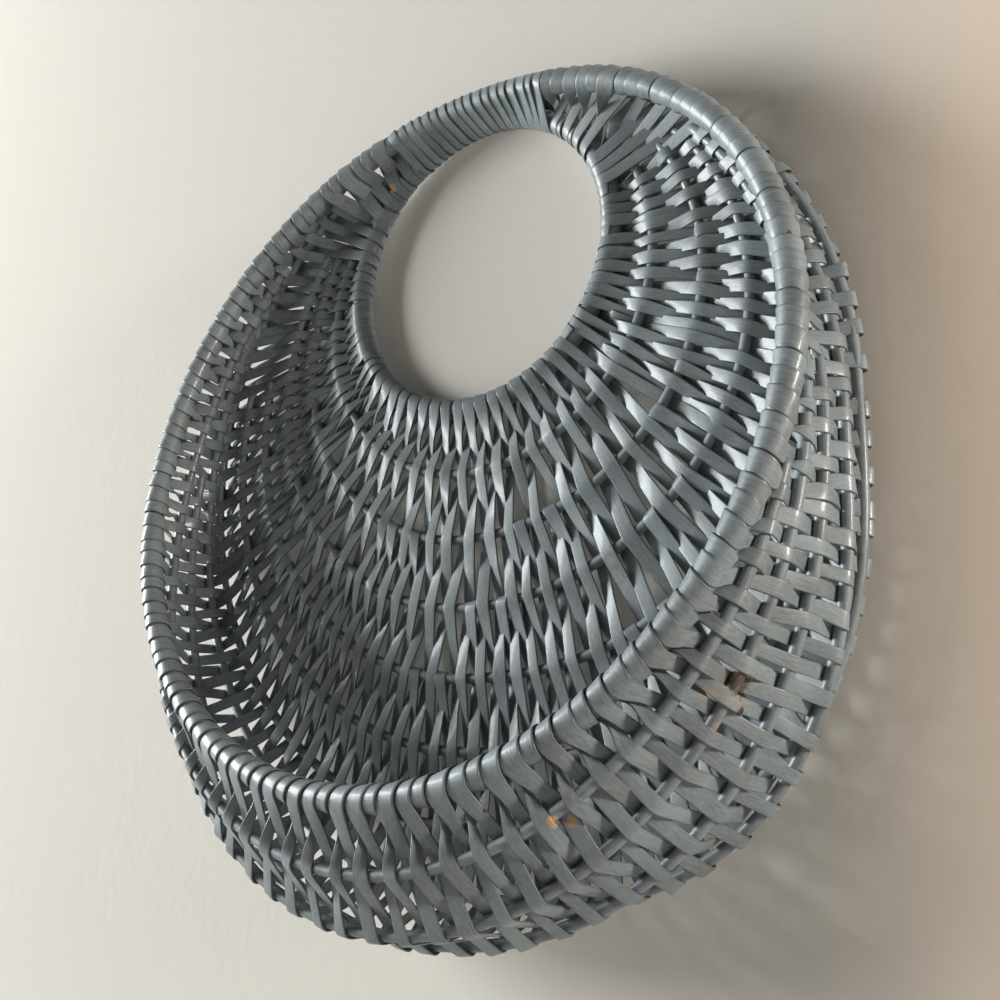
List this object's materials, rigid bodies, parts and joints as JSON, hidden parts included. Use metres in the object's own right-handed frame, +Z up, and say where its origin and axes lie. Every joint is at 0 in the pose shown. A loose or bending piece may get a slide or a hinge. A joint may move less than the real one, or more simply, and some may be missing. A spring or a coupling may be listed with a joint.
{
  "type": "wall pocket basket",
  "caption": "Round woven wall pocket basket: a leaning rim hoop and a small eye hoop lashed together as a handle, with curved ribs and flat weavers forming a shallow pocket.",
  "frame": {"origin": "the hook's seat under the middle of the handle, below the eye hoop's top", "axes": "+Z up, +Y towards the wall behind, +X to the right as seen from the front"},
  "size_m": [0.3772, 0.0893, 0.4159],
  "materials": {
    "hoop_cane": "blue-grey satin paint over round cane",
    "rib_cane": "blue-grey satin paint over round cane",
    "weaver_cane": "blue-grey satin paint over flat cane",
    "lashing_cane": "blue-grey satin paint over flat cane"
  },
  "bodies": {
    "root": {"rim_hoop": "hoop_cane", "eye_hoop": "hoop_cane", "back_rib_1": "rib_cane", "back_rib_2": "rib_cane", "back_rib_3": "rib_cane", "back_rib_4": "rib_cane", "back_rib_5": "rib_cane", "back_rib_6": "rib_cane", "belly_rib_1": "rib_cane", "belly_rib_2": "rib_cane", "belly_rib_3": "rib_cane", "belly_rib_4": "rib_cane", "weaver_01": "weaver_cane", "weaver_02": "weaver_cane", "weaver_03": "weaver_cane", "weaver_04": "weaver_cane", "weaver_05": "weaver_cane", "weaver_06": "weaver_cane", "weaver_07": "weaver_cane", "weaver_08": "weaver_cane", "weaver_09": "weaver_cane", "weaver_10": "weaver_cane", "weaver_11": "weaver_cane", "weaver_12": "weaver_cane", "weaver_13": "weaver_cane", "weaver_14": "weaver_cane", "weaver_15": "weaver_cane", "weaver_16": "weaver_cane", "weaver_17": "weaver_cane", "weaver_18": "weaver_cane", "weaver_19": "weaver_cane", "weaver_20": "weaver_cane", "weaver_21": "weaver_cane", "handle_lashing": "lashing_cane"}
  },
  "joints": []
}
